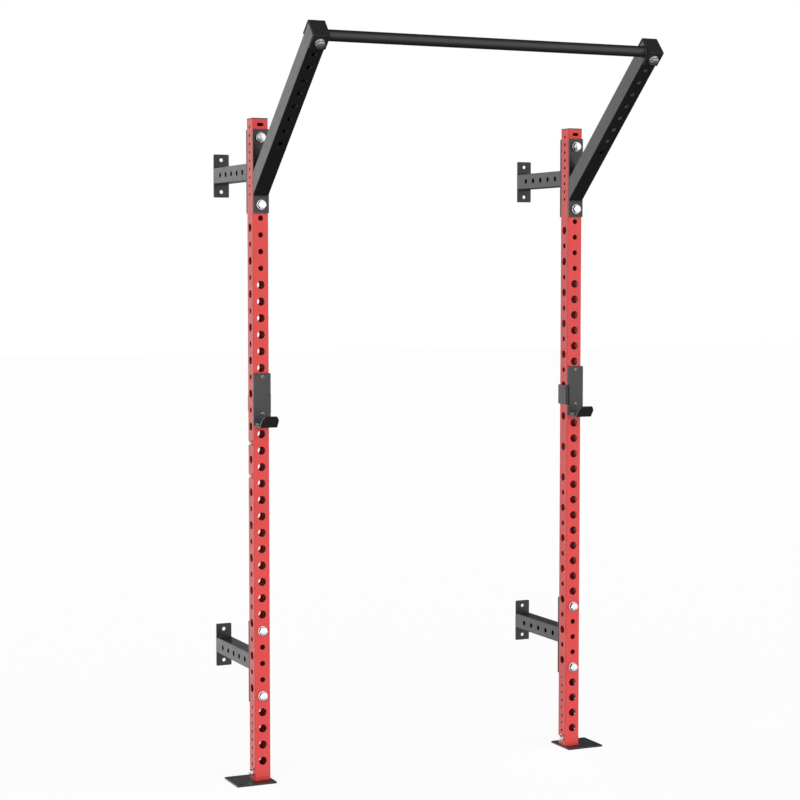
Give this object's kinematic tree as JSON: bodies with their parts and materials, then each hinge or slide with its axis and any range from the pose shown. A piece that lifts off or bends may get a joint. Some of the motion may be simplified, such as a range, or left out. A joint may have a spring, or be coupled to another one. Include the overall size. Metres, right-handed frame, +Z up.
{
  "type": "wall-mounted squat rack",
  "caption": "Two-post squat rack that stands on foot plates and ties back to a wall, with a forward pull-up bar and sliding J-cups.",
  "frame": {"origin": "on the floor, midway between the uprights and on their centre plane", "axes": "+X to the right for a person facing the wall, +Y towards the wall, +Z up"},
  "size_m": [1.27, 0.8388, 2.2572],
  "materials": {
    "red_powder_coat": "satin powder coat with a fine even texture",
    "black_powder_coat": "matt black powder coat with a fine texture",
    "bar_powder_coat": "smooth satin black powder coat",
    "cup_powder_coat": "matt black powder coat",
    "liner_plastic": "dull dark grey high-density plastic",
    "saddle_plastic": "dull grey high-density plastic",
    "black_plastic": "moulded plastic with a fine grain",
    "zinc_plate": "bright zinc plate"
  },
  "bodies": {
    "rack": {"upright_left": "red_powder_coat", "upright_cap_left": "black_plastic", "foot_plate_left": "black_powder_coat", "foot_stub_left": "black_powder_coat", "wall_arm_lower_left": "black_powder_coat", "wall_plate_lower_left": "black_powder_coat", "joint_plate_lower_left": "black_powder_coat", "wall_arm_upper_left": "black_powder_coat", "wall_plate_upper_left": "black_powder_coat", "joint_plate_upper_left": "black_powder_coat", "pull_up_arm_left": "black_powder_coat", "arm_bracket_plate_left": "black_powder_coat", "bar_strap_left": "black_powder_coat", "upright_right": "red_powder_coat", "upright_cap_right": "black_plastic", "foot_plate_right": "black_powder_coat", "foot_stub_right": "black_powder_coat", "wall_arm_lower_right": "black_powder_coat", "wall_plate_lower_right": "black_powder_coat", "joint_plate_lower_right": "black_powder_coat", "wall_arm_upper_right": "black_powder_coat", "wall_plate_upper_right": "black_powder_coat", "joint_plate_upper_right": "black_powder_coat", "pull_up_arm_right": "black_powder_coat", "arm_bracket_plate_right": "black_powder_coat", "bar_strap_right": "black_powder_coat", "pull_up_bar": "bar_powder_coat", "foot_bolts": "zinc_plate", "foot_bolt_washers": "zinc_plate", "foot_bolt_nuts": "zinc_plate", "joint_bolts": "zinc_plate", "joint_bolt_washers": "zinc_plate", "joint_bolt_nuts": "zinc_plate", "strap_bolts": "zinc_plate", "strap_bolt_washers": "zinc_plate", "strap_bolt_nuts": "zinc_plate", "accessory_bolts": "zinc_plate", "accessory_bolt_washers": "zinc_plate", "accessory_rivet_nuts": "zinc_plate"},
    "j_cup_left": {"j_cup_body_left": "cup_powder_coat", "j_cup_liner_left": "liner_plastic", "j_cup_saddle_left": "saddle_plastic", "j_cup_screws_left": "zinc_plate", "j_cup_pin_left": "zinc_plate"},
    "j_cup_right": {"j_cup_body_right": "cup_powder_coat", "j_cup_liner_right": "liner_plastic", "j_cup_saddle_right": "saddle_plastic", "j_cup_screws_right": "zinc_plate", "j_cup_pin_right": "zinc_plate"}
  },
  "joints": [
    {"name": "j_cup_left_slide", "type": "slide", "parent": "rack", "child": "j_cup_left", "axis": [1, 0, 0], "range_m": [0, 0.06]},
    {"name": "j_cup_right_slide", "type": "slide", "parent": "rack", "child": "j_cup_right", "axis": [-1, 0, 0], "range_m": [0, 0.06]}
  ]
}
